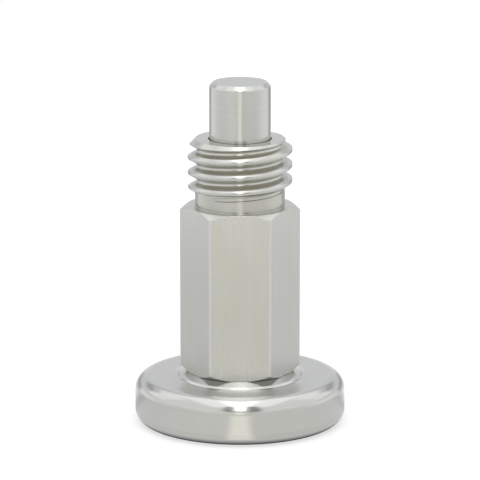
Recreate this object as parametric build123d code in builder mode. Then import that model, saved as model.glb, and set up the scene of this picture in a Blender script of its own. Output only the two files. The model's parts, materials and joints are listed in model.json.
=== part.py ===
"""Index plunger with a hexagonal body, a threaded stud and a round pull knob.

Millimetres. The origin is on the axis in the plane of the hexagon's front face, the
shoulder that seats on a panel. +Z runs along the axis towards the plunger's tip.
"""

from build123d import *
import math
import os

os.makedirs("parts", exist_ok=True)

# Thread: metric coarse M12 x 1.75, right-handed, with its flats as shares of the pitch
thread_d = 11.85
thread_pitch = 1.75
thread_flank_deg = 30.0
crest_flat_share = 0.174
root_flat_share = 0.17
thread_start_deg = 252.0
runout_l = 0.474
runout_r = 9.0

# Stud
stud_l = 7.69
stud_end_chamfer = 0.845
stud_back_chamfer = 0.15
neck_l = 2.01
neck_rise = 0.17

# Hexagon
hex_af = 11.9
hex_l = 19.2
hex_corner_radius = 0.3
hex_end_d = 12.08
hex_chamfer_deg = 36.0

# Plunger pin
nose_d = 6.97
nose_l = 6.46
nose_chamfer = 0.43
collar_l = 2.5
collar_chamfer = 0.3
shank_d = 4.5
tail_d = 4.0
tail_chamfer = 0.4

# Bores in the body
body_wall = 1.35
shoulder_depth = 1.0
nose_clearance = 0.03
nose_mouth_relief = 0.1
nose_mouth_depth = 0.5
collar_clearance = 0.15
chamber_mouth_chamfer = 0.3

# Guide bush, pressed in from the back
bush_l = 3.2
bush_recess = 0.2
bush_clearance = 0.03
bush_chamfer = 0.25

# Spring: its wire is drawn with flat sides, which keeps a long helix light
wire_d = 0.6
wire_sides = 6
spring_clearance = 0.7
spring_turns = 4.0

# Knob
knob_d = 24.0
knob_l = 5.47
knob_gap = 0.03
knob_floor = 1.75
knob_front_radius = 1.7
knob_back_radius = 1.6
boss_d = 14.1
boss_side_l = 0.2
boss_top_d = 12.0
boss_cone_l = 0.37

# How far a cutting outline reaches past the metal that it cuts
overhang = 0.05

# Radii that follow
thread_r = thread_d / 2
crest_flat = crest_flat_share * thread_pitch
root_flat = root_flat_share * thread_pitch
flank_slope = math.tan(math.radians(thread_flank_deg))
thread_depth = (thread_pitch - crest_flat - root_flat) / 2 / flank_slope
root_r = thread_r - thread_depth
neck_r = root_r + neck_rise
stud_end_r = thread_r - stud_end_chamfer
nose_r = nose_d / 2
shank_r = shank_d / 2
tail_r = tail_d / 2
nose_bore_r = nose_r + nose_clearance
chamber_r = hex_af / 2 - body_wall
collar_r = chamber_r - collar_clearance
coil_r = chamber_r - spring_clearance - wire_d / 2

# Places along the axis that follow
tip_z = stud_l + nose_l
shoulder_z = -shoulder_depth
collar_back_z = shoulder_z - collar_l
bush_back_z = -hex_l + bush_recess
bush_front_z = bush_back_z + bush_l
boss_front_z = -hex_l - knob_gap
boss_rim_z = boss_front_z - boss_cone_l
knob_front_z = boss_rim_z - boss_side_l
knob_back_z = knob_front_z - knob_l
tail_end_z = knob_back_z + knob_floor

# Thread groove: a V with a flat root, swept up the helix and past the stud's end. At its
# start it runs out of the neck along a wider arc, as the threading tool leaves the metal
groove_r = thread_r + overhang
groove_flat = thread_pitch - crest_flat + 2 * overhang * flank_slope
groove_z = neck_l - runout_l
lead_rad = math.atan(thread_pitch / (2 * math.pi * root_r))
runout_axis = Axis((root_r - runout_r, 0, groove_z), (0, -math.sin(lead_rad), math.cos(lead_rad)))
runout_deg = math.degrees(math.acos(1 - (neck_rise + overhang) / (runout_r - root_r)))

with BuildPart() as groove:
    with BuildLine() as groove_path:
        Helix(
            pitch=thread_pitch,
            height=stud_l - groove_z + thread_pitch,
            radius=root_r,
            center=(0, 0, groove_z),
        )
    with BuildSketch(Plane.XZ) as groove_profile:
        with BuildLine():
            Polyline(
                (root_r, groove_z - root_flat / 2),
                (groove_r, groove_z - groove_flat / 2),
                (groove_r, groove_z + groove_flat / 2),
                (root_r, groove_z + root_flat / 2),
                close=True,
            )
        make_face()
    sweep(path=groove_path.line, is_frenet=True)
    revolve(groove_profile.sketch, axis=runout_axis, revolution_arc=-runout_deg)

# Hexagon: its corners are rounded and both ends are chamfered to a shallow cone, which
# stays just clear of the middle of each flat
hex_corner_r = hex_af / 2 / math.cos(math.radians(30))
hex_end_r = hex_end_d / 2
hex_chamfer_l = (hex_corner_r - hex_end_r) * math.tan(math.radians(hex_chamfer_deg))

with BuildPart() as hexagon:
    with BuildSketch(Plane.XY.offset(-hex_l)) as hexagon_section:
        RegularPolygon(radius=hex_af / 2, side_count=6, major_radius=False)
        fillet(hexagon_section.vertices(), radius=hex_corner_radius)
    extrude(amount=hex_l)
    with BuildSketch(Plane.XZ):
        with BuildLine():
            Polyline(
                (0, 0),
                (hex_end_r, 0),
                (hex_corner_r, -hex_chamfer_l),
                (hex_corner_r, -hex_l + hex_chamfer_l),
                (hex_end_r, -hex_l),
                (0, -hex_l),
                close=True,
            )
        make_face()
    revolve(axis=Axis.Z, mode=Mode.INTERSECT)

# Body: neck and stud, then the thread, the stud's end chamfer and the hexagon, and last
# a guide bore for the nose, relieved at its mouth, and a wider chamber behind it for the
# collar and the spring
with BuildPart() as hex_body:
    with BuildSketch(Plane.XZ):
        with BuildLine():
            Polyline(
                (0, shoulder_z),
                (neck_r, shoulder_z),
                (neck_r, neck_l),
                (thread_r - stud_back_chamfer, neck_l),
                (thread_r, neck_l + stud_back_chamfer),
                (thread_r, stud_l),
                (0, stud_l),
                close=True,
            )
        make_face()
    revolve(axis=Axis.Z)
    add(groove.part.rotate(Axis.Z, thread_start_deg), mode=Mode.SUBTRACT)
    with BuildSketch(Plane.XZ):
        with BuildLine():
            Polyline(
                (stud_end_r, stud_l),
                (thread_r + overhang, stud_l),
                (thread_r + overhang, stud_l - stud_end_chamfer - overhang),
                close=True,
            )
        make_face()
    revolve(axis=Axis.Z, mode=Mode.SUBTRACT)
    add(hexagon.part)
    with BuildSketch(Plane.XZ):
        with BuildLine():
            Polyline(
                (0, stud_l),
                (nose_bore_r + nose_mouth_relief, stud_l),
                (nose_bore_r + nose_mouth_relief, stud_l - nose_mouth_depth),
                (nose_bore_r, stud_l - nose_mouth_depth),
                (nose_bore_r, shoulder_z),
                (chamber_r, shoulder_z),
                (chamber_r, -hex_l + chamber_mouth_chamfer),
                (chamber_r + chamber_mouth_chamfer, -hex_l),
                (0, -hex_l),
                close=True,
            )
        make_face()
    revolve(axis=Axis.Z, mode=Mode.SUBTRACT)

hex_body.part.label = "hex_body"
export_step(hex_body.part, "parts/hex_body.step")

# Plunger pin: nose, collar, shank and tail, turned in one piece
with BuildPart() as plunger_pin:
    with BuildSketch(Plane.XZ):
        with BuildLine():
            Polyline(
                (0, tip_z),
                (nose_r - nose_chamfer, tip_z),
                (nose_r, tip_z - nose_chamfer),
                (nose_r, shoulder_z),
                (collar_r, shoulder_z),
                (collar_r, collar_back_z + collar_chamfer),
                (collar_r - collar_chamfer, collar_back_z),
                (shank_r, collar_back_z),
                (shank_r, boss_front_z),
                (tail_r, boss_front_z),
                (tail_r, tail_end_z + tail_chamfer),
                (tail_r - tail_chamfer, tail_end_z),
                (0, tail_end_z),
                close=True,
            )
        make_face()
    revolve(axis=Axis.Z)

plunger_pin.part.label = "plunger_pin"
export_step(plunger_pin.part, "parts/plunger_pin.step")

# Guide bush: closes the chamber, carries the spring and guides the shank
with BuildPart() as guide_bush:
    with BuildSketch(Plane.XY.offset(bush_back_z)):
        Circle(chamber_r)
        Circle(shank_r + bush_clearance, mode=Mode.SUBTRACT)
    extrude(amount=bush_l)
    chamfer(guide_bush.edges().group_by(Axis.Z)[-1].sort_by(SortBy.RADIUS)[-1], length=bush_chamfer)

guide_bush.part.label = "guide_bush"
export_step(guide_bush.part, "parts/guide_bush.step")

# Spring: a coil whose two ends are ground flat
spring_l = collar_back_z - bush_front_z

with BuildPart() as spring:
    with BuildLine() as coil_path:
        Helix(
            pitch=spring_l / spring_turns,
            height=spring_l,
            radius=coil_r,
            center=(0, 0, bush_front_z),
        )
    with BuildSketch(Plane.XZ):
        with Locations((coil_r, bush_front_z)):
            RegularPolygon(radius=wire_d / 2, side_count=wire_sides)
    sweep(path=coil_path.line, is_frenet=True)
    with BuildSketch(Plane.XY.offset(bush_front_z)):
        Circle(chamber_r)
    extrude(amount=spring_l, mode=Mode.INTERSECT)

spring.part.label = "spring"
export_step(spring.part, "parts/spring.step")

# Knob: a thick disc with rounded edges, a blind hole and, towards the body, a low boss
# with a coned top
with BuildPart() as pull_knob:
    with BuildSketch(Plane.XY.offset(knob_back_z)):
        Circle(knob_d / 2)
    extrude(amount=knob_l)
    fillet(pull_knob.edges().sort_by(Axis.Z)[0], radius=knob_back_radius)
    fillet(pull_knob.edges().sort_by(Axis.Z)[-1], radius=knob_front_radius)
    with BuildSketch(Plane.XZ):
        with BuildLine():
            Polyline(
                (0, knob_front_z),
                (boss_d / 2, knob_front_z),
                (boss_d / 2, boss_rim_z),
                (boss_top_d / 2, boss_front_z),
                (0, boss_front_z),
                close=True,
            )
        make_face()
    revolve(axis=Axis.Z)
    with BuildSketch(Plane.XY.offset(tail_end_z)):
        Circle(tail_r)
    extrude(until=Until.LAST, mode=Mode.SUBTRACT)

pull_knob.part.label = "pull_knob"
export_step(pull_knob.part, "parts/pull_knob.step")
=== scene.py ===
"""Index plunger: finishes, coil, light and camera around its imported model.

Metres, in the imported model's own frame: the axis is Z, the origin lies in the
hexagon's front face and the nose points up. Patterns are worked out in millimetres.
"""

from __future__ import annotations

import json
import logging
import math
from dataclasses import dataclass
from enum import Enum
from typing import Any, Union

import bpy
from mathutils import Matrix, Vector

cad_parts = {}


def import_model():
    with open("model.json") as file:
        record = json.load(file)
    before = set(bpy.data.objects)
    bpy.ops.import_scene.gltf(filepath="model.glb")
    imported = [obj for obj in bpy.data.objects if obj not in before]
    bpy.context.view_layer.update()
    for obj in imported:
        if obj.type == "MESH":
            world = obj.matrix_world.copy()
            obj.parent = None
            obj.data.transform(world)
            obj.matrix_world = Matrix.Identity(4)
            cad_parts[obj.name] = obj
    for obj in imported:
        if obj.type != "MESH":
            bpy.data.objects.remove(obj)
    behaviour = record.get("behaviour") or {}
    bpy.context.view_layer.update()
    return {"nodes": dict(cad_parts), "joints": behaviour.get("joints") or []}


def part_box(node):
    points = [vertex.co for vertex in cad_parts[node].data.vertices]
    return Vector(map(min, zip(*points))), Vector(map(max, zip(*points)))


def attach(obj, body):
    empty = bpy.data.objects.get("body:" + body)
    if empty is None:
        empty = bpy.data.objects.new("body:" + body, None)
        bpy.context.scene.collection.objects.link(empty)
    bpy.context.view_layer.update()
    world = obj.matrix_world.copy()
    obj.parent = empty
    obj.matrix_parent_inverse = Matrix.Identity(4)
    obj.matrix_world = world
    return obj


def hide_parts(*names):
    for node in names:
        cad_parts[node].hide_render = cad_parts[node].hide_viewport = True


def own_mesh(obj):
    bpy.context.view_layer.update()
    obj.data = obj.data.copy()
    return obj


LOG = logging.getLogger("plunger")
MM = 0.001

Colour = tuple[float, float, float]
Number = Union["Signal", float]


class Lay(Enum):
    """Which way a tool has left its marks on a surface."""

    ROUND = "round the axis"
    ALONG = "along the axis"


class Signal:
    """A number that varies over a surface and takes part in plain arithmetic."""

    def __init__(self, graph: Graph, socket: bpy.types.NodeSocket) -> None:
        """Keeps the graph that the socket belongs to."""
        self.graph = graph
        self.socket = socket

    def __add__(self, other: Number) -> Signal:
        """Sum."""
        return self.graph.math("ADD", self, other)

    def __sub__(self, other: Number) -> Signal:
        """Difference."""
        return self.graph.math("SUBTRACT", self, other)

    def __rsub__(self, other: float) -> Signal:
        """Difference from a plain number."""
        return self.graph.math("SUBTRACT", other, self)

    def __mul__(self, other: Number) -> Signal:
        """Product."""
        return self.graph.math("MULTIPLY", self, other)

    def __gt__(self, other: Number) -> Signal:
        """One where this is the larger, otherwise zero."""
        return self.graph.math("GREATER_THAN", self, other)

    def __lt__(self, other: Number) -> Signal:
        """One where this is the smaller, otherwise zero."""
        return self.graph.math("LESS_THAN", self, other)

    def __abs__(self) -> Signal:
        """Size without sign."""
        return self.graph.math("ABSOLUTE", self)

    __radd__ = __add__
    __rmul__ = __mul__

    def held(self) -> Signal:
        """The same number, held between zero and one."""
        return self.graph.math("ADD", self, 0.0, clamp=True)


class Graph:
    """The nodes of one material or world."""

    def __init__(self, owner: Any) -> None:
        """Empties the owner's node tree.

        Args:
            owner: the material or world that the nodes belong to.
        """
        owner.use_nodes = True
        self.tree = owner.node_tree
        self.tree.nodes.clear()

    def node(self, kind: str, settings: dict[str, Any], inputs: dict[Any, Any]) -> Any:
        """Adds a node.

        Args:
            kind: the node's Blender type.
            settings: what is set on the node itself, before its sockets.
            inputs: a value, a Signal or a socket for each named or numbered socket.

        Returns:
            The new node.
        """
        made = self.tree.nodes.new(kind)
        for name, value in settings.items():
            setattr(made, name, value)
        for name, value in inputs.items():
            socket = made.inputs[name]
            if isinstance(value, Signal):
                self.tree.links.new(value.socket, socket)
            elif isinstance(value, bpy.types.NodeSocket):
                self.tree.links.new(value, socket)
            else:
                socket.default_value = value
        return made

    def math(self, operation: str, *values: Number, clamp: bool = False) -> Signal:
        """Adds a Math node.

        Args:
            operation: the Math node's operation.
            values: its one or two values.
            clamp: whether the result is held between zero and one.

        Returns:
            The result.
        """
        settings = {"operation": operation, "use_clamp": clamp}
        made = self.node("ShaderNodeMath", settings, dict(enumerate(values)))
        return Signal(self, made.outputs[0])

    def smooth(self, value: Signal, low: float, high: float) -> Signal:
        """A soft step.

        Args:
            value: what is stepped.
            low: where the step starts from zero.
            high: where the step reaches one.

        Returns:
            The step's height.
        """
        inputs = {"Value": value, "From Min": low, "From Max": high}
        made = self.node("ShaderNodeMapRange", {"interpolation_type": "SMOOTHSTEP"}, inputs)
        return Signal(self, made.outputs["Result"])

    def noise(self, place: Any, scale: float, detail: float = 2.0) -> Signal:
        """Noise around zero, along one number or through space.

        Args:
            place: a Signal for noise along a line, or a vector socket.
            scale: how many grains there are to the unit of place.
            detail: how many finer layers are added.

        Returns:
            The noise, from about minus a half to a half.
        """
        flat = isinstance(place, Signal)
        settings = {"noise_dimensions": "1D" if flat else "3D"}
        inputs = {"W" if flat else "Vector": place, "Scale": scale, "Detail": detail}
        made = self.node("ShaderNodeTexNoise", settings, inputs)
        return Signal(self, made.outputs[0]) - 0.5

    def blend(self, share: Number, first: Any, second: Any) -> bpy.types.NodeSocket:
        """Mixes two colours.

        Args:
            share: how much of the second colour shows.
            first: a colour or a colour socket.
            second: a colour or a colour socket.

        Returns:
            The mixed colour's socket.
        """
        pair = [(*c, 1.0) if isinstance(c, tuple) else c for c in (first, second)]
        inputs = {0: share, 6: pair[0], 7: pair[1]}
        return self.node("ShaderNodeMix", {"data_type": "RGBA"}, inputs).outputs[2]

    def shade_tint(self, share: Number, tone: Any, shade_tint: Colour) -> bpy.types.NodeSocket:
        """Multiplies a colour by a painted shade.

        Args:
            share: how much of the painted shade shows.
            tone: the colour's socket.
            shade_tint: what is left of each of red, green and blue.

        Returns:
            The shaded colour's socket.
        """
        settings = {"data_type": "RGBA", "blend_type": "MULTIPLY"}
        inputs = {0: share, 6: tone, 7: (*shade_tint, 1.0)}
        return self.node("ShaderNodeMix", settings, inputs).outputs[2]

    def turn(self, share: Number, first: Any, second: Any) -> bpy.types.NodeSocket:
        """Mixes two normals.

        Args:
            share: how much of the second normal there is.
            first: a normal's socket.
            second: a normal's socket.

        Returns:
            The mixed normal's socket.
        """
        inputs = {0: share, 4: first, 5: second}
        return self.node("ShaderNodeMix", {"data_type": "VECTOR"}, inputs).outputs[1]

    def pack(self, x: Number, y: Number, z: Number) -> bpy.types.NodeSocket:
        """Joins three numbers into a vector."""
        return self.node("ShaderNodeCombineXYZ", {}, {0: x, 1: y, 2: z}).outputs[0]


class Surface:
    """Where a point of a piece lies, in millimetres, and how its face is turned."""

    TRACK_SLANT = 1.37

    def __init__(self, graph: Graph) -> None:
        """Adds the coordinate nodes.

        Args:
            graph: the material's graph.
        """
        self.graph = graph
        coordinates = graph.node("ShaderNodeTexCoord", {}, {})
        place = graph.node("ShaderNodeSeparateXYZ", {}, {0: coordinates.outputs["Object"]})
        facing = graph.node("ShaderNodeSeparateXYZ", {}, {0: coordinates.outputs["Normal"]})
        self.x, self.y, self.z = (Signal(graph, s) * (1 / MM) for s in place.outputs)
        self.upright = Signal(graph, facing.outputs[2])
        self.radius = graph.math("POWER", self.x * self.x + self.y * self.y, 0.5)

    def round_track(self) -> Signal:
        """A number that changes along every turned profile and not round the axis."""
        return self.z - self.radius * self.TRACK_SLANT

    def along_space(self, stretch: float) -> bpy.types.NodeSocket:
        """Space drawn out along the axis, so that noise in it makes fine lines."""
        return self.graph.pack(self.x, self.y, self.z * (1 / stretch))


@dataclass(frozen=True)
class Steel:
    """A bare steel finish with tool marks, broken edges and slightly uneven tone.

    Args:
        name: the material's name.
        colour: the metal's own colour.
        cast: the colour that it drifts towards in faint clouds and lines.
        roughness: how far reflections blur.
        lay: which way the tool marks run.
        mark_pitch_mm: about how far apart the marks lie.
        mark_height: how high the marks stand, in metres.
        edge_radius: how far edges are rounded off, in metres.
        edge_highlight_gain: how much lighter the edges are, as worn polish and painted highlight.
        streaks: how much the tone drifts along the tool marks.
        mark_layers: how many finer layers the marks have.
        band_scale: how many coarse bands there are to a mark.
        band_share: how high the coarse bands are beside the marks.
        line_stretch: how much longer than wide the lines along the axis are.
        cloud_stretch: how much longer than wide the clouds of tone are.
        cloud_scale: how many clouds there are to the millimetre.
        cloud_share: how much the tone drifts with the clouds.
        edge_sharpness: how soon a turned face counts as an edge.
        edge_samples: how many rays find the edges.
        cloud_blur: how much the clouds change the roughness.
        mark_blur: how much the marks change the roughness.
    """

    name: str
    colour: Colour
    cast: Colour
    roughness: float
    lay: Lay
    mark_pitch_mm: float
    mark_height: float
    edge_radius: float = 0.00007
    edge_highlight_gain: float = 0.14
    streaks: float = 0.9
    mark_layers: float = 3.0
    band_scale: float = 0.21
    band_share: float = 0.6
    line_stretch: float = 140.0
    cloud_stretch: float = 3.0
    cloud_scale: float = 0.45
    cloud_share: float = 1.1
    edge_sharpness: float = 14.0
    edge_samples: int = 6
    cloud_blur: float = 0.06
    mark_blur: float = 0.05

    def marks(self, graph: Graph, surface: Surface, lay: Lay) -> Signal:
        """The height of the tool marks.

        Args:
            graph: the material's graph.
            surface: where the point lies.
            lay: which way the marks run.

        Returns:
            The height, around zero.
        """
        scale = 1 / self.mark_pitch_mm
        if lay is Lay.ALONG:
            return graph.noise(surface.along_space(self.line_stretch), scale, self.mark_layers)
        track = surface.round_track()
        bands = graph.noise(track, scale * self.band_scale, 1.0) * self.band_share
        return graph.noise(track, scale, self.mark_layers) + bands

    def height(self, graph: Graph, surface: Surface) -> Signal:
        """The height of the marks over the whole piece; one lay unless overridden."""
        return self.marks(graph, surface, self.lay)

    def blur(self, graph: Graph, surface: Surface) -> Number:
        """How far reflections blur over the whole piece; the same unless overridden."""
        return self.roughness

    def worn(self, graph: Graph, surface: Surface, edge: Signal) -> Signal:
        """Worn polish and a painted highlight; along the edges unless overridden."""
        return edge

    def rounded(self, graph: Graph, surface: Surface, fine: Any) -> Any:
        """The normal that the marks stand on; fine edges unless overridden."""
        return fine

    def shaded_tone(self, graph: Graph, surface: Surface, tone: Any) -> Any:
        """The tone with any painted shade; plain unless overridden."""
        return tone

    def build(self) -> bpy.types.Material:
        """Makes the material.

        Returns:
            The finished material.
        """
        material = bpy.data.materials.new(self.name)
        graph = Graph(material)
        surface = Surface(graph)
        height = self.height(graph, surface)
        clouds = graph.noise(surface.along_space(self.cloud_stretch), self.cloud_scale)
        drift = (clouds * self.cloud_share + height * self.streaks + 0.5).held()
        settings = {"samples": self.edge_samples}
        bevel = graph.node("ShaderNodeBevel", settings, {"Radius": self.edge_radius})
        shape = graph.node("ShaderNodeNewGeometry", {}, {})
        inputs = {0: bevel.outputs[0], 1: shape.outputs["Normal"]}
        turned = graph.node("ShaderNodeVectorMath", {"operation": "DOT_PRODUCT"}, inputs)
        edge = ((1 - Signal(graph, turned.outputs["Value"])) * self.edge_sharpness).held()
        edge = self.worn(graph, surface, edge)
        # Painted highlight: the edges' colour is lightened, for worn polish and a highlight.
        bright = tuple(min(1.0, c * (1 + self.edge_highlight_gain)) for c in self.colour)
        tone = self.shaded_tone(graph, surface, graph.blend(drift, self.colour, self.cast))
        normal = self.rounded(graph, surface, bevel.outputs[0])
        inputs = {"Height": height, "Distance": self.mark_height, "Normal": normal}
        bump = graph.node("ShaderNodeBump", {}, inputs)
        uneven = clouds * self.cloud_blur + height * self.mark_blur
        shader = graph.node(
            "ShaderNodeBsdfPrincipled",
            {},
            {
                "Base Color": graph.blend(edge, tone, bright),
                "Metallic": 1.0,
                "Roughness": (uneven + self.blur(graph, surface)).held(),
                "Normal": bump.outputs[0],
            },
        )
        graph.node("ShaderNodeOutputMaterial", {}, {"Surface": shader.outputs[0]})
        return material

    def dress(self, piece: bpy.types.Object) -> None:
        """Puts the finish on every slot of a piece.

        Args:
            piece: a mesh object.
        """
        material = self.build()
        slots = piece.material_slots
        if not slots:
            piece.data.materials.append(material)
        for slot in slots:
            slot.material = material
        LOG.info("%s has the finish %s", piece.name, self.name)


@dataclass(frozen=True)
class Thread:
    """A right-hand thread round the axis, in millimetres, with worn crests and soft roots.

    Args:
        pitch: how far it climbs in a turn.
        groove_z: the height of the groove's middle at groove_turn.
        groove_turn: the share of a turn, from +X, at which groove_z is measured.
        root: the radius of the groove's flat bottom.
        crest: the radius of the crest.
        root_half: half the width of the groove's flat bottom.
        root_soft: how far from its middle the bottom is rounded.
        below_soft: how far below its middle the crest is rounded.
        above_soft: how far above its middle the crest's corner is rounded.
        above_worn: how far above its middle the crest's worn side reaches.
        worn_share: how far the corner turns before the worn side starts.
        start_z: the height from which it is cut in the stud.
        flank_deg: how far a flank leans from the plane across the axis.
        match: how near the drawn form a point has to be.
    """

    pitch: float = 1.75
    groove_z: float = 1.536
    groove_turn: float = 0.7
    root: float = 4.931
    crest: float = 5.925
    root_half: float = 0.149
    root_soft: float = 0.24
    below_soft: float = 0.26
    above_soft: float = 0.2
    above_worn: float = 0.46
    worn_share: float = 0.76
    start_z: float = 2.05
    flank_deg: float = 30.0
    match: float = 0.03

    def shape(self, graph: Graph, surface: Surface) -> tuple[Signal, Any]:
        """The thread's rounded form.

        Args:
            graph: the material's graph.
            surface: where the point lies.

        Returns:
            One on the thread and zero elsewhere, and the rounded normal.
        """
        half = self.pitch / 2
        turn = graph.math("ARCTAN2", surface.y, surface.x) * (1 / math.tau)
        climb = surface.z - turn * self.pitch + (self.groove_turn * self.pitch - self.groove_z)
        low = graph.math("WRAP", climb, half, -half)
        high = graph.math("WRAP", climb - half, half, -half)
        flank = math.radians(self.flank_deg)
        depth = (abs(low) - self.root_half) * (1 / math.tan(flank))
        drawn = graph.math("MAXIMUM", depth, 0.0) + self.root
        off = abs(graph.math("MINIMUM", drawn, self.crest) - surface.radius)
        worn = (high * (1 / self.above_soft)).held() * self.worn_share
        span = self.above_worn - self.above_soft
        worn = worn + ((high - self.above_soft) * (1 / span)).held() * (1 - self.worn_share)
        crest = worn - (high * (-1 / self.below_soft)).held()
        root = 1 - (low * (0.5 / self.root_soft) + 0.5).held() * 2
        near_crest = abs(high) < half / 2
        lean = (root + near_crest * (crest - root)) * math.cos(flank)
        out = graph.math("POWER", 1 - lean * lean, 0.5)
        out = graph.math("DIVIDE", out, surface.radius)
        share = (off < self.match) * (surface.z > self.start_z)
        return share, graph.pack(surface.x * out, surface.y * out, lean)


@dataclass(frozen=True)
class BodySteel(Steel):
    """Drawn hexagon bar that was turned everywhere but on its flats.

    Args:
        turned_roughness: how far reflections blur where the bar was turned.
        corner_highlight_mm: how far from the axis the painted highlight on the corners starts.
        corner_highlight_fade_mm: over what distance that comes.
        thread: the stud's thread.
        groove_mm: the radii between which the thread's flanks lie.
        groove_fade_mm: over what distance the painted shade comes, at the root and at the crest.
        groove_shade: what the painted shade leaves of red, green and blue on the flanks.
        neck_mm: the heights between which the neck lies.
        neck_share: how much of the same darkening the neck has.
        flats_mm: the height that the flats lie below, and the radius that they lie beyond.
        flats_upright: how far a flat's face may point along the axis.
    """

    turned_roughness: float = 0.21
    corner_highlight_mm: float = 6.78
    corner_highlight_fade_mm: float = 0.02
    thread: Thread = Thread()
    groove_mm: tuple[float, float] = (4.94, 5.7)
    groove_fade_mm: tuple[float, float] = (0.1, 0.4)
    groove_shade: Colour = (0.86, 0.835, 0.79)
    neck_mm: tuple[float, float] = (0.02, 2.0)
    neck_share: float = 0.45
    flats_mm: tuple[float, float] = (-0.02, 5.5)
    flats_upright: float = 0.25

    def rounded(self, graph: Graph, surface: Surface, fine: Any) -> Any:
        """Fine edges, and well-rounded crests and roots on the thread."""
        share, normal = self.thread.shape(graph, surface)
        return graph.turn(share, fine, normal)

    def shaded_tone(self, graph: Graph, surface: Surface, tone: Any) -> Any:
        """Painted shade in the thread's grooves, and darker on the neck."""
        root, crest = self.groove_mm
        root_fade, crest_fade = self.groove_fade_mm
        share, _ = self.thread.shape(graph, surface)
        flank = graph.smooth(surface.radius, root, root + root_fade)
        flank = flank * (1 - graph.smooth(surface.radius, crest - crest_fade, crest))
        bottom, top = self.neck_mm
        neck = (surface.z > bottom) * (surface.z < top) * self.neck_share
        # Painted shade on the groove flanks; the neck is darkened with the same tint.
        return graph.shade_tint(flank * share + neck, tone, self.groove_shade)

    def flats(self, surface: Surface) -> Signal:
        """One on the hexagon's flats and corners, otherwise zero."""
        top, near = self.flats_mm
        upright = abs(surface.upright) < self.flats_upright
        return (surface.z < top) * upright * (surface.radius > near)

    def height(self, graph: Graph, surface: Surface) -> Signal:
        """Lines along the flats, and rings on whatever was turned."""
        drawn = self.marks(graph, surface, Lay.ALONG)
        turned = self.marks(graph, surface, Lay.ROUND)
        return turned + self.flats(surface) * (drawn - turned)

    def blur(self, graph: Graph, surface: Surface) -> Number:
        """A satin hexagon, and a clearer stud and neck."""
        satin = surface.z < self.neck_mm[0]
        return satin * (self.roughness - self.turned_roughness) + self.turned_roughness

    def worn(self, graph: Graph, surface: Surface, edge: Signal) -> Signal:
        """Worn polish and painted highlight on the edges, painted highlight on the corners."""
        start = self.corner_highlight_mm
        # Painted highlight: the flats are lightened next to the hexagon's corners.
        corner = graph.smooth(surface.radius, start, start + self.corner_highlight_fade_mm)
        return (edge + corner * self.flats(surface)).held()


@dataclass(frozen=True)
class KnobSteel(Steel):
    """A turned knob whose boss meets the knob's slightly dished front in a small hollow.

    Args:
        boss_mm: the boss's radius.
        front_mm: the height of the knob's front.
        hollow_mm: how far the hollow reaches up the boss and out over the front.
        hollow_deg: how steep the hollow is at most.
        dish_mm: how far out from the boss the front is dished.
        dish_deg: how steep the dish is at most.
        front_roughness: how far reflections blur on the front.
        front_fade_mm: over what distance the front's softer look comes.
        rim_mm: the radii between which it goes again.
        slack_mm: how far off the drawn form a point may be.
    """

    boss_mm: float = 7.05
    front_mm: float = -19.8
    hollow_mm: tuple[float, float] = (0.2, 0.4)
    hollow_deg: float = 42.0
    dish_mm: float = 2.2
    dish_deg: float = 11.0
    front_roughness: float = 0.32
    front_fade_mm: float = 0.3
    rim_mm: tuple[float, float] = (9.9, 10.7)
    slack_mm: float = 0.02

    def blur(self, graph: Graph, surface: Surface) -> Number:
        """A clear rim and boss, and a softer front between them."""
        up, out = self.hollow_mm
        start = self.boss_mm + out
        front = graph.smooth(surface.radius, start, start + self.front_fade_mm)
        front = front * (1 - graph.smooth(surface.radius, *self.rim_mm))
        front = front * (surface.z > self.front_mm - up)
        return front * (self.front_roughness - self.roughness) + self.roughness

    def rounded(self, graph: Graph, surface: Surface, fine: Any) -> Any:
        """Fine edges, and a hollow and a dish round the boss's foot."""
        up, out = self.hollow_mm
        lift = surface.z - self.front_mm
        along = surface.radius - self.boss_mm - lift
        slack = self.slack_mm
        near = (abs(along) < self.dish_mm) * (lift < up + slack) * (lift > -slack)
        near = near * (surface.radius > self.boss_mm - slack)
        steep = (1 - graph.smooth(along, -up, out)) * math.radians(self.hollow_deg)
        steep = steep + (1 - graph.smooth(along, out, self.dish_mm)) * math.radians(self.dish_deg)
        angle = math.pi / 2 - steep
        reach = graph.math("DIVIDE", graph.math("COSINE", angle), surface.radius)
        hollow = graph.pack(surface.x * reach, surface.y * reach, graph.math("SINE", angle))
        return graph.turn(near, fine, hollow)


@dataclass(frozen=True)
class Housing:
    """The hexagonal body and the bush pressed into its back.

    Args:
        bar: the body's finish.
        bush: the bush's finish.
    """

    bar: Steel
    bush: Steel

    def build(self, nodes: dict[str, bpy.types.Object]) -> None:
        """Dresses the housing's pieces.

        Args:
            nodes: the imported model's pieces by name.
        """
        self.bar.dress(nodes["hex_body"])
        self.bush.dress(nodes["guide_bush"])


@dataclass(frozen=True)
class Plunger:
    """The plunger pin and the knob on its tail.

    Args:
        ground: the pin's finish.
        polished: the knob's finish.
    """

    ground: Steel
    polished: Steel

    def build(self, nodes: dict[str, bpy.types.Object]) -> None:
        """Dresses the plunger's pieces.

        Args:
            nodes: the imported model's pieces by name.
        """
        self.ground.dress(nodes["plunger_pin"])
        self.polished.dress(nodes["pull_knob"])


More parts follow.
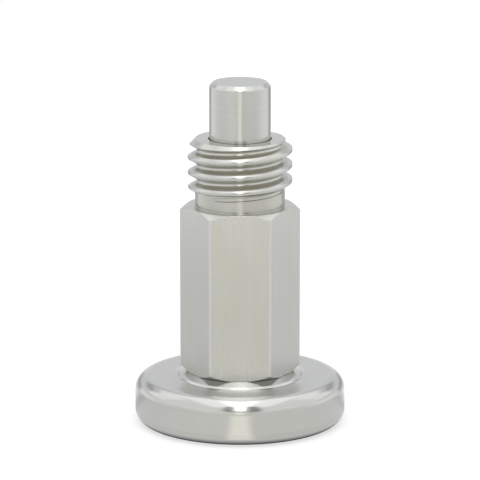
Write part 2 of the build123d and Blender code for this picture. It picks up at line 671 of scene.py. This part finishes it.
@dataclass(frozen=True)
class Coil:
    """The compression spring: a helix of round wire with both ends ground flat.

    Args:
        wire: the wire's finish.
        turns: how many times it goes round.
        wire_radius: the wire's radius, in metres.
        steps: how many points there are to a turn.
        sides: how many sides the wire's section has.
        end_gap: how far its moving end stays off the collar, in metres.
        joint: the joint whose range is read; nothing shortens the coil with it.
    """

    wire: Steel
    turns: float = 4.0
    wire_radius: float = 0.0003
    steps: int = 72
    sides: int = 20
    end_gap: float = 0.00002
    joint: str = "pull"

    def tree(self) -> bpy.types.GeometryNodeTree:
        """Builds the node tree that winds the coil.

        Returns:
            A tree with named inputs for the coil's sizes.
        """
        tree = bpy.data.node_groups.new("wound_coil", "GeometryNodeTree")
        face = tree.interface
        for name in ("Radius", "Bottom", "Length", "Turns", "Wire Radius"):
            face.new_socket(name, in_out="INPUT", socket_type="NodeSocketFloat")
        for name in ("Points", "Sides"):
            face.new_socket(name, in_out="INPUT", socket_type="NodeSocketInt")
        face.new_socket("Finish", in_out="INPUT", socket_type="NodeSocketMaterial")
        face.new_socket("Coil", in_out="OUTPUT", socket_type="NodeSocketGeometry")
        given = tree.nodes.new("NodeGroupInput").outputs

        def add(kind: str, links: dict[Any, Any], **settings: Any) -> Any:
            """Adds one node with its settings, then its links and values."""
            node = tree.nodes.new(kind)
            for name, value in settings.items():
                setattr(node, name, value)
            for name, value in links.items():
                if isinstance(value, bpy.types.NodeSocket):
                    tree.links.new(value, node.inputs[name])
                else:
                    node.inputs[name].default_value = value
            return node

        line = add("GeometryNodeCurvePrimitiveLine", {"End": (0.0, 0.0, 1.0)})
        spread = {"Curve": line.outputs[0], "Count": given["Points"]}
        points = add("GeometryNodeResampleCurve", spread)
        share = add("GeometryNodeSplineParameter", {})
        wound_share = {0: share.outputs[0], 1: given["Turns"]}
        turned = add("ShaderNodeMath", wound_share, operation="MULTIPLY")
        angle = add("ShaderNodeMath", {0: turned.outputs[0], 1: math.tau}, operation="MULTIPLY")
        across = []
        for wave in ("COSINE", "SINE"):
            unit = add("ShaderNodeMath", {0: angle.outputs[0]}, operation=wave)
            scaled = {0: unit.outputs[0], 1: given["Radius"]}
            across.append(add("ShaderNodeMath", scaled, operation="MULTIPLY").outputs[0])
        rise = {0: share.outputs[0], 1: given["Length"], 2: given["Bottom"]}
        height = add("ShaderNodeMath", rise, operation="MULTIPLY_ADD")
        place = add("ShaderNodeCombineXYZ", {0: across[0], 1: across[1], 2: height.outputs[0]})
        wound = {"Geometry": points.outputs[0], "Position": place.outputs[0]}
        helix = add("GeometryNodeSetPosition", wound)
        section = {"Resolution": given["Sides"], "Radius": given["Wire Radius"]}
        circle = add("GeometryNodeCurvePrimitiveCircle", section)
        tube = add(
            "GeometryNodeCurveToMesh",
            {"Curve": helix.outputs[0], "Profile Curve": circle.outputs[0], "Fill Caps": True},
        )
        spot = add("ShaderNodeSeparateXYZ", {0: add("GeometryNodeInputPosition", {}).outputs[0]})
        top = add("ShaderNodeMath", {0: given["Bottom"], 1: given["Length"]}, operation="ADD")
        lifted = {0: spot.outputs[2], 1: given["Bottom"]}
        floor = add("ShaderNodeMath", lifted, operation="MAXIMUM")
        ceiling = {0: floor.outputs[0], 1: top.outputs[0]}
        held = add("ShaderNodeMath", ceiling, operation="MINIMUM")
        moved = {0: spot.outputs[0], 1: spot.outputs[1], 2: held.outputs[0]}
        flat = add("ShaderNodeCombineXYZ", moved)
        cut = {"Geometry": tube.outputs[0], "Position": flat.outputs[0]}
        ground = add("GeometryNodeSetPosition", cut)
        real = add("GeometryNodeRealizeInstances", {"Geometry": ground.outputs[0]})
        dressed = add(
            "GeometryNodeSetMaterial", {"Geometry": real.outputs[0], "Material": given["Finish"]}
        )
        add("NodeGroupOutput", {"Coil": dressed.outputs[0]})
        return tree

    def build(self, joints: list[dict[str, Any]]) -> bpy.types.Object:
        """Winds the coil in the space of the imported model's spring.

        Args:
            joints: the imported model's joints.

        Returns:
            The coil as a plain mesh object.
        """
        low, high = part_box("spring")
        length = high.z - low.z - self.end_gap
        stroke = next(joint["range_m"][1] for joint in joints if joint["name"] == self.joint)
        sizes = {
            "Radius": high.x - self.wire_radius,
            "Bottom": low.z,
            "Length": length,
            "Turns": self.turns,
            "Wire Radius": self.wire_radius,
            "Points": int(self.turns * self.steps) + 1,
            "Sides": self.sides,
            "Finish": self.wire.build(),
        }
        tree = self.tree()
        holder = bpy.data.objects.new("coil_maker", bpy.data.meshes.new("coil_maker"))
        bpy.context.scene.collection.objects.link(holder)
        modifier = holder.modifiers.new("wound_coil", "NODES")
        modifier.node_group = tree
        for item in tree.interface.items_tree:
            if item.in_out == "INPUT":
                modifier[item.identifier] = sizes[item.name]
        scene_state = bpy.context.evaluated_depsgraph_get()
        mesh = bpy.data.meshes.new_from_object(holder.evaluated_get(scene_state))
        mesh.name = "coil_spring"
        mesh.shade_smooth()
        bpy.data.objects.remove(holder)
        piece = bpy.data.objects.new("coil_spring", mesh)
        bpy.context.scene.collection.objects.link(piece)
        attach(piece, "coil")
        1 - stroke / length
        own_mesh(piece)
        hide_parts("spring")
        LOG.info("%s has %d faces", piece.name, len(mesh.polygons))
        return piece


@dataclass(frozen=True)
class Panel:
    """A soft light panel that faces the object.

    Args:
        name: the light's name.
        place: its centre.
        aim: the point that it faces.
        size: its width and height.
        radiance: how bright its face is, where one renders as white.
        colour: its tint.
    """

    name: str
    place: tuple[float, float, float]
    aim: tuple[float, float, float]
    size: tuple[float, float]
    radiance: float
    colour: Colour = (1.0, 1.0, 1.0)

    def build(self) -> None:
        """Hangs the panel, hidden from the camera."""
        light = bpy.data.lights.new(self.name, "AREA")
        light.shape = "RECTANGLE"
        light.size, light.size_y = self.size
        light.energy = self.radiance * math.pi * self.size[0] * self.size[1]
        light.color = self.colour
        lamp = bpy.data.objects.new(self.name, light)
        lamp.location = self.place
        away = Vector(self.place) - Vector(self.aim)
        lamp.rotation_euler = away.to_track_quat("Z", "Y").to_euler()
        lamp.visible_camera = False
        bpy.context.scene.collection.objects.link(lamp)


@dataclass(frozen=True)
class Tone:
    """How bright the cloth is in one direction.

    Args:
        angle_deg: the angle round the axis, zero towards the camera and positive to the right.
        level: how bright the cloth is, where one renders as white.
        warmth: how much warmer than neutral it is; a negative number is cooler.
    """

    angle_deg: float
    level: float
    warmth: float = 0.0


@dataclass(frozen=True)
class Cloth:
    """A ring of glowing cloth, or a part of one, that only reflections see.

    Args:
        name: its name.
        inner: its inner edge, as a radius and a height above the floor.
        outer: its outer edge, as a radius and a height above the floor.
        tones: how bright it is, from its left end to its right end.
        step_deg: how wide its straight panels are.
        open_deg: how far to each side of the camera it is left open.
        inner_share: the share of its brightness that is left at its inner edge.
        fade_mm: how far out from there it reaches its full brightness.
    """

    FLOOR_LEVEL = 0.001
    GREEN_WARMTH = 0.25

    name: str
    inner: tuple[float, float]
    outer: tuple[float, float]
    tones: tuple[Tone, ...]
    step_deg: float = 2.0
    open_deg: float = 0.0
    inner_share: float = 1.0
    fade_mm: float = 4.0

    def on_floor(self) -> bool:
        """Whether the cloth lies or stands on the floor."""
        return self.inner[1] < self.FLOOR_LEVEL

    def build(self, floor_z: float) -> bpy.types.Object:
        """Hangs the cloth.

        Args:
            floor_z: the floor's height.

        Returns:
            The cloth's object.
        """
        corners = []
        first, last = self.tones[0].angle_deg, self.tones[-1].angle_deg
        steps = math.ceil((last - first) / self.step_deg)
        angles = [first + (last - first) * step / steps for step in range(steps + 1)]
        for angle in map(math.radians, angles):
            for radius, height in (self.inner, self.outer):
                x, y = radius * math.sin(angle), -radius * math.cos(angle)
                corners.append((x, y, floor_z + height))
        faces = []
        for step in range(steps):
            if abs(angles[step] + angles[step + 1]) / 2 > self.open_deg:
                faces.append((2 * step, 2 * step + 1, 2 * step + 3, 2 * step + 2))
        mesh = bpy.data.meshes.new(self.name)
        mesh.from_pydata(corners, [], faces)
        mesh.materials.append(self.glow())
        ring = bpy.data.objects.new(self.name, mesh)
        bpy.context.scene.collection.objects.link(ring)
        ring.visible_camera = False
        ring.visible_diffuse = False
        ring.visible_shadow = False
        return ring

    def glow(self) -> bpy.types.Material:
        """Makes the cloth's glow, which depends on the angle round the axis.

        Returns:
            The cloth's material.
        """
        material = bpy.data.materials.new(self.name)
        graph = Graph(material)
        surface = Surface(graph)
        turn = graph.math("ARCTAN2", surface.x, surface.y * -1.0) * (1 / math.tau) + 0.5
        ramp = graph.node("ShaderNodeValToRGB", {}, {0: turn})
        stops = ramp.color_ramp.elements
        peak = max(tone.level for tone in self.tones)
        while len(stops) < len(self.tones):
            stops.new(1.0)
        for stop, tone in zip(stops, self.tones):
            share = tone.level / peak
            stop.position = tone.angle_deg / 360 + 0.5
            green, blue = 1 - tone.warmth * self.GREEN_WARMTH, 1 - tone.warmth
            stop.color = (share, share * green, share * blue, 1.0)
        start = self.inner[0] / MM
        fade = graph.smooth(surface.radius, start, start + self.fade_mm)
        share = fade * (1 - self.inner_share) + self.inner_share
        colour = graph.blend(share, (0.0, 0.0, 0.0), ramp.outputs[0])
        glow = graph.node("ShaderNodeEmission", {}, {"Color": colour, "Strength": peak})
        graph.node("ShaderNodeOutputMaterial", {}, {"Surface": glow.outputs[0]})
        return material


@dataclass(frozen=True)
class Studio:
    """The pale floor, the white surround, the soft light and the camera.

    Args:
        panels: the light panels.
        cloths: the rings of cloth round the object.
        floor_half: half the floor's width.
        floor_open: the radius of the floor's opening under the knob's base.
        floor_steps: how many faces the floor has round that opening.
        floor_colour: the floor's own colour.
        floor_glow: how much of the floor's look is plain white.
        sky_light: how much light the white surround gives.
        sky_colour: that light's tint.
        camera_pitch_deg: how far the camera looks down.
        camera_distance: how far it stands from its target.
        camera_target_z: the height of its target on the axis.
        pixels_per_metre: the picture's scale at the target.
        picture_pixels: how wide the picture is.
        sensor_mm: how wide the camera's sensor is.
        clip: how near and how far the camera sees.
    """

    panels: tuple[Panel, ...]
    cloths: tuple[Cloth, ...]
    floor_half: float = 0.25
    floor_open: float = 0.0102
    floor_steps: int = 96
    floor_colour: Colour = (0.98, 0.98, 0.98)
    floor_glow: float = 0.58
    sky_light: float = 1.1
    sky_colour: Colour = (0.97, 0.98, 1.0)
    camera_pitch_deg: float = 13.2
    camera_distance: float = 0.42
    camera_target_z: float = -0.00413
    pixels_per_metre: float = 8800.0
    picture_pixels: int = 480
    sensor_mm: float = 36.0
    clip: tuple[float, float] = (0.01, 20.0)

    def seen(self, graph: Graph) -> Signal:
        """One for what the camera sees straight, by reflection or through glass."""
        path = graph.node("ShaderNodeLightPath", {}, {}).outputs
        names = ("Is Camera Ray", "Is Glossy Ray", "Is Transmission Ray")
        camera, glossy, through = (Signal(graph, path[name]) for name in names)
        return (camera + glossy + through).held()

    def lay_floor(self, floor_z: float) -> bpy.types.Object:
        """Lays the floor under the object, open where the base covers it.

        Args:
            floor_z: the floor's height.

        Returns:
            The floor.
        """
        corners: list[tuple[float, float, float]] = []
        for index in range(self.floor_steps):
            angle = math.tau * index / self.floor_steps
            along, across = math.cos(angle), math.sin(angle)
            reach = self.floor_half / max(abs(along), abs(across))
            corners.append((along * self.floor_open, across * self.floor_open, floor_z))
            corners.append((along * reach, across * reach, floor_z))
        total = len(corners)
        faces = [(i, i + 1, (i + 3) % total, (i + 2) % total) for i in range(0, total, 2)]
        mesh = bpy.data.meshes.new("floor")
        mesh.from_pydata(corners, [], faces)
        material = bpy.data.materials.new("floor_paper")
        graph = Graph(material)
        paper = graph.node("ShaderNodeBsdfDiffuse", {}, {"Color": (*self.floor_colour, 1.0)})
        glow = graph.node("ShaderNodeEmission", {}, {"Strength": 1.0})
        inputs = {0: self.seen(graph) * self.floor_glow, 1: paper.outputs[0], 2: glow.outputs[0]}
        mixed = graph.node("ShaderNodeMixShader", {}, inputs)
        graph.node("ShaderNodeOutputMaterial", {}, {"Surface": mixed.outputs[0]})
        mesh.materials.append(material)
        floor = bpy.data.objects.new("floor", mesh)
        bpy.context.scene.collection.objects.link(floor)
        return floor

    def surround(self) -> None:
        """Makes the white surround, which lights the object at a plain level."""
        world = bpy.data.worlds.new("white_surround")
        bpy.context.scene.world = world
        graph = Graph(world)
        sky = {"Color": (*self.sky_colour, 1.0), "Strength": self.sky_light}
        light = graph.node("ShaderNodeBackground", {}, sky)
        white = graph.node("ShaderNodeBackground", {}, {"Color": (1.0, 1.0, 1.0, 1.0)})
        inputs = {0: self.seen(graph), 1: light.outputs[0], 2: white.outputs[0]}
        mixed = graph.node("ShaderNodeMixShader", {}, inputs)
        graph.node("ShaderNodeOutputWorld", {}, {"Surface": mixed.outputs[0]})

    def aim_camera(self) -> None:
        """Stands the camera where the photograph was taken from."""
        data = bpy.data.cameras.new("camera")
        pictures = self.camera_distance * self.pixels_per_metre / self.picture_pixels
        data.sensor_width = self.sensor_mm
        data.lens = pictures * self.sensor_mm
        data.clip_start, data.clip_end = self.clip
        camera = bpy.data.objects.new("camera", data)
        pitch = math.radians(self.camera_pitch_deg)
        target = Vector((0.0, 0.0, self.camera_target_z))
        back = Vector((0.0, -math.cos(pitch), math.sin(pitch)))
        camera.location = target + back * self.camera_distance
        camera.rotation_euler = (math.pi / 2 - pitch, 0.0, 0.0)
        bpy.context.scene.collection.objects.link(camera)
        bpy.context.scene.camera = camera

    def build(self, floor_z: float, body: str) -> None:
        """Sets up the whole studio.

        Args:
            floor_z: the height that the object stands on.
            body: the body that stands on the floor, which keeps the floor under it.
        """
        self.surround()
        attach(self.lay_floor(floor_z), body)
        for cloth in self.cloths:
            piece = cloth.build(floor_z)
            if cloth.on_floor():
                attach(piece, body)
        for panel in self.panels:
            panel.build()
        self.aim_camera()
        bpy.context.scene.view_settings.view_transform = "Standard"
        LOG.info("studio has %d panels", len(self.panels))


WARM_STEEL: Colour = (0.572, 0.577, 0.56)
WARM_CAST: Colour = (0.546, 0.545, 0.5)
BODY_STEEL: Colour = (0.582, 0.589, 0.585)
BODY_CAST: Colour = (0.55, 0.553, 0.49)
KNOB_STEEL: Colour = (0.585, 0.592, 0.575)
KNOB_CAST: Colour = (0.568, 0.57, 0.54)
WIRE_STEEL: Colour = (0.5, 0.5, 0.49)

HOUSING = Housing(
    bar=BodySteel(
        name="body_satin",
        colour=BODY_STEEL,
        cast=BODY_CAST,
        roughness=0.28,
        lay=Lay.ROUND,
        mark_pitch_mm=0.11,
        mark_height=0.0000025,
        streaks=1.6,
    ),
    bush=Steel(
        name="bush_turned",
        colour=WARM_STEEL,
        cast=WARM_CAST,
        roughness=0.3,
        lay=Lay.ROUND,
        mark_pitch_mm=0.14,
        mark_height=0.000003,
    ),
)
PLUNGER = Plunger(
    ground=Steel(
        name="pin_ground",
        colour=WARM_STEEL,
        cast=WARM_CAST,
        roughness=0.2,
        lay=Lay.ROUND,
        mark_pitch_mm=0.1,
        mark_height=0.0000012,
        edge_radius=0.00014,
    ),
    polished=KnobSteel(
        name="knob_polished",
        colour=KNOB_STEEL,
        cast=KNOB_CAST,
        roughness=0.16,
        lay=Lay.ROUND,
        mark_pitch_mm=0.2,
        mark_height=0.0000008,
    ),
)
COIL = Coil(
    wire=Steel(
        name="spring_wire",
        colour=WIRE_STEEL,
        cast=WARM_CAST,
        roughness=0.3,
        lay=Lay.ROUND,
        mark_pitch_mm=0.1,
        mark_height=0.000001,
    )
)
NEAR_TONES = (
    Tone(-180.0, 0.9, -0.03),
    Tone(-128.0, 0.97, -0.05),
    Tone(-119.0, 0.8, -0.03),
    Tone(-109.0, 0.58, -0.02),
    Tone(-95.0, 0.8),
    Tone(-50.0, 0.86, 0.02),
    Tone(-10.0, 0.87, 0.03),
    Tone(-5.0, 1.19, 0.07),
    Tone(5.0, 1.19, 0.07),
    Tone(10.0, 0.84, 0.03),
    Tone(50.0, 0.84, 0.02),
    Tone(95.0, 0.84),
    Tone(107.0, 0.66, -0.02),
    Tone(118.0, 0.86, -0.03),
    Tone(126.0, 1.08, -0.06),
    Tone(180.0, 0.9, -0.03),
)
FAR_TONES = (
    Tone(-180.0, 0.7, -0.03),
    Tone(-135.0, 0.78, -0.03),
    Tone(-90.0, 0.8, -0.02),
    Tone(-40.0, 0.85, 0.06),
    Tone(0.0, 0.87, 0.07),
    Tone(40.0, 0.85, 0.06),
    Tone(90.0, 0.86, -0.01),
    Tone(135.0, 0.82, -0.02),
    Tone(180.0, 0.72, -0.02),
)
WALL_TONES = (
    Tone(-180.0, 0.9),
    Tone(-166.0, 0.9),
    Tone(-160.0, 0.5),
    Tone(-140.0, 0.5),
    Tone(-132.0, 1.1),
    Tone(-109.0, 1.05),
    Tone(-92.0, 0.92),
    Tone(-63.0, 0.87),
    Tone(-38.0, 0.94),
    Tone(-26.0, 0.95, 0.03),
    Tone(-12.0, 0.9, 0.05),
    Tone(-6.0, 0.85, 0.06),
    Tone(-4.0, 1.4, 0.06),
    Tone(4.0, 1.4, 0.06),
    Tone(6.0, 0.76, 0.06),
    Tone(15.0, 0.8, 0.03),
    Tone(26.0, 0.86),
    Tone(45.0, 0.82),
    Tone(67.0, 0.87),
    Tone(81.0, 0.98),
    Tone(97.0, 1.07),
    Tone(118.0, 1.05),
    Tone(128.0, 1.0),
    Tone(136.0, 0.5),
    Tone(160.0, 0.5),
    Tone(166.0, 0.9),
    Tone(180.0, 0.9),
)
LEFT_FLAG = (Tone(-152.0, 0.5), Tone(-124.0, 0.5))
RIGHT_FLAG = (Tone(124.0, 0.5), Tone(152.0, 0.5))
HORIZON_TONES = (Tone(-8.0, 1.0), Tone(-5.0, 1.6), Tone(5.0, 1.6), Tone(8.0, 1.0))
CONTACT_TONES = (Tone(-180.0, 0.78), Tone(180.0, 0.78))
LEFT_SHADE = (Tone(-20.0, 1.0), Tone(-17.0, 0.3), Tone(-8.0, 0.3), Tone(-6.0, 1.0))
RIGHT_SHADE = (Tone(7.0, 1.0), Tone(10.0, 0.35), Tone(21.0, 0.25), Tone(25.0, 1.0))
BACK_LOW = (
    Tone(-180.0, 0.77, -0.05),
    Tone(-100.0, 0.92),
    Tone(100.0, 0.92),
    Tone(180.0, 0.77, -0.05),
)
BACK_SHEET = (
    Tone(-180.0, 0.86, -0.04),
    Tone(-173.0, 0.85, -0.04),
    Tone(-166.0, 0.77, -0.05),
    Tone(-132.0, 0.74, -0.05),
    Tone(-124.0, 1.15, -0.02),
    Tone(124.0, 1.15, -0.02),
    Tone(132.0, 0.74, -0.05),
    Tone(166.0, 0.77, -0.05),
    Tone(173.0, 0.85, -0.04),
    Tone(180.0, 0.86, -0.04),
)
BACK_BAND = (
    Tone(-180.0, 1.3, -0.02),
    Tone(-172.0, 1.25, -0.02),
    Tone(-164.0, 0.85, -0.02),
    Tone(-157.0, 0.82, -0.02),
    Tone(-143.0, 1.22, -0.02),
    Tone(143.0, 1.22, -0.02),
    Tone(157.0, 0.82, -0.02),
    Tone(164.0, 0.85, -0.02),
    Tone(172.0, 1.25, -0.02),
    Tone(180.0, 1.3, -0.02),
)
STUDIO = Studio(
    panels=(
        Panel(
            "key_panel",
            place=(0.0, -0.045, 0.307),
            aim=(0.0, 0.03, -0.01),
            size=(0.11, 0.31),
            radiance=0.85,
        ),
        Panel(
            "front_panel",
            place=(0.0, -0.257, 0.1923),
            aim=(0.0, -0.0145, 0.0153),
            size=(0.053, 0.193),
            radiance=2.5,
        ),
        Panel(
            "halo_panel",
            place=(0.0, -0.05, 0.42),
            aim=(0.0, 0.0, -0.01),
            size=(0.5, 0.66),
            radiance=0.35,
        ),
    ),
    cloths=(
        Cloth(
            "contact_shade",
            (0.011, 0.00005),
            (0.0122, 0.0003),
            CONTACT_TONES,
            inner_share=0.05,
            fade_mm=1.2,
        ),
        Cloth("near_floor", (0.0122, 0.0003), (0.03, 0.0003), NEAR_TONES, inner_share=0.93),
        Cloth("far_floor", (0.03, 0.0003), (0.11, 0.0003), FAR_TONES),
        Cloth("tent_wall", (0.11, 0.0), (0.11, 0.022), WALL_TONES),
        Cloth("left_flag", (0.06, 0.029), (0.06, 0.04), LEFT_FLAG),
        Cloth("right_flag", (0.06, 0.029), (0.06, 0.04), RIGHT_FLAG),
        Cloth("back_low", (0.4, 0.0), (0.4, 0.14), BACK_LOW, open_deg=95.0),
        Cloth("back_sheet", (0.4, 0.14), (0.4, 0.32), BACK_SHEET, open_deg=95.0),
        Cloth("back_band", (0.4, 0.32), (0.4, 0.58), BACK_BAND, open_deg=95.0),
        Cloth("lens_gap", (0.3, 0.0705), (0.3, 0.084), (Tone(-14.0, 0.05), Tone(20.0, 0.05))),
        Cloth("horizon", (0.3, 0.084), (0.3, 0.102), HORIZON_TONES),
        Cloth("left_shade", (0.28, 0.086), (0.28, 0.4), LEFT_SHADE),
        Cloth("right_shade", (0.28, 0.086), (0.28, 0.4), RIGHT_SHADE),
    ),
)


def main() -> None:
    """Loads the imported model, dresses it and sets up the studio."""
    logging.basicConfig(level=logging.INFO, format="%(name)s: %(message)s")
    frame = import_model()
    HOUSING.build(frame["nodes"])
    PLUNGER.build(frame["nodes"])
    COIL.build(frame["joints"])
    STUDIO.build(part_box("pull_knob")[0].z, "plunger")
    LOG.info("the model is finished")


if __name__ == "__main__":
    main()
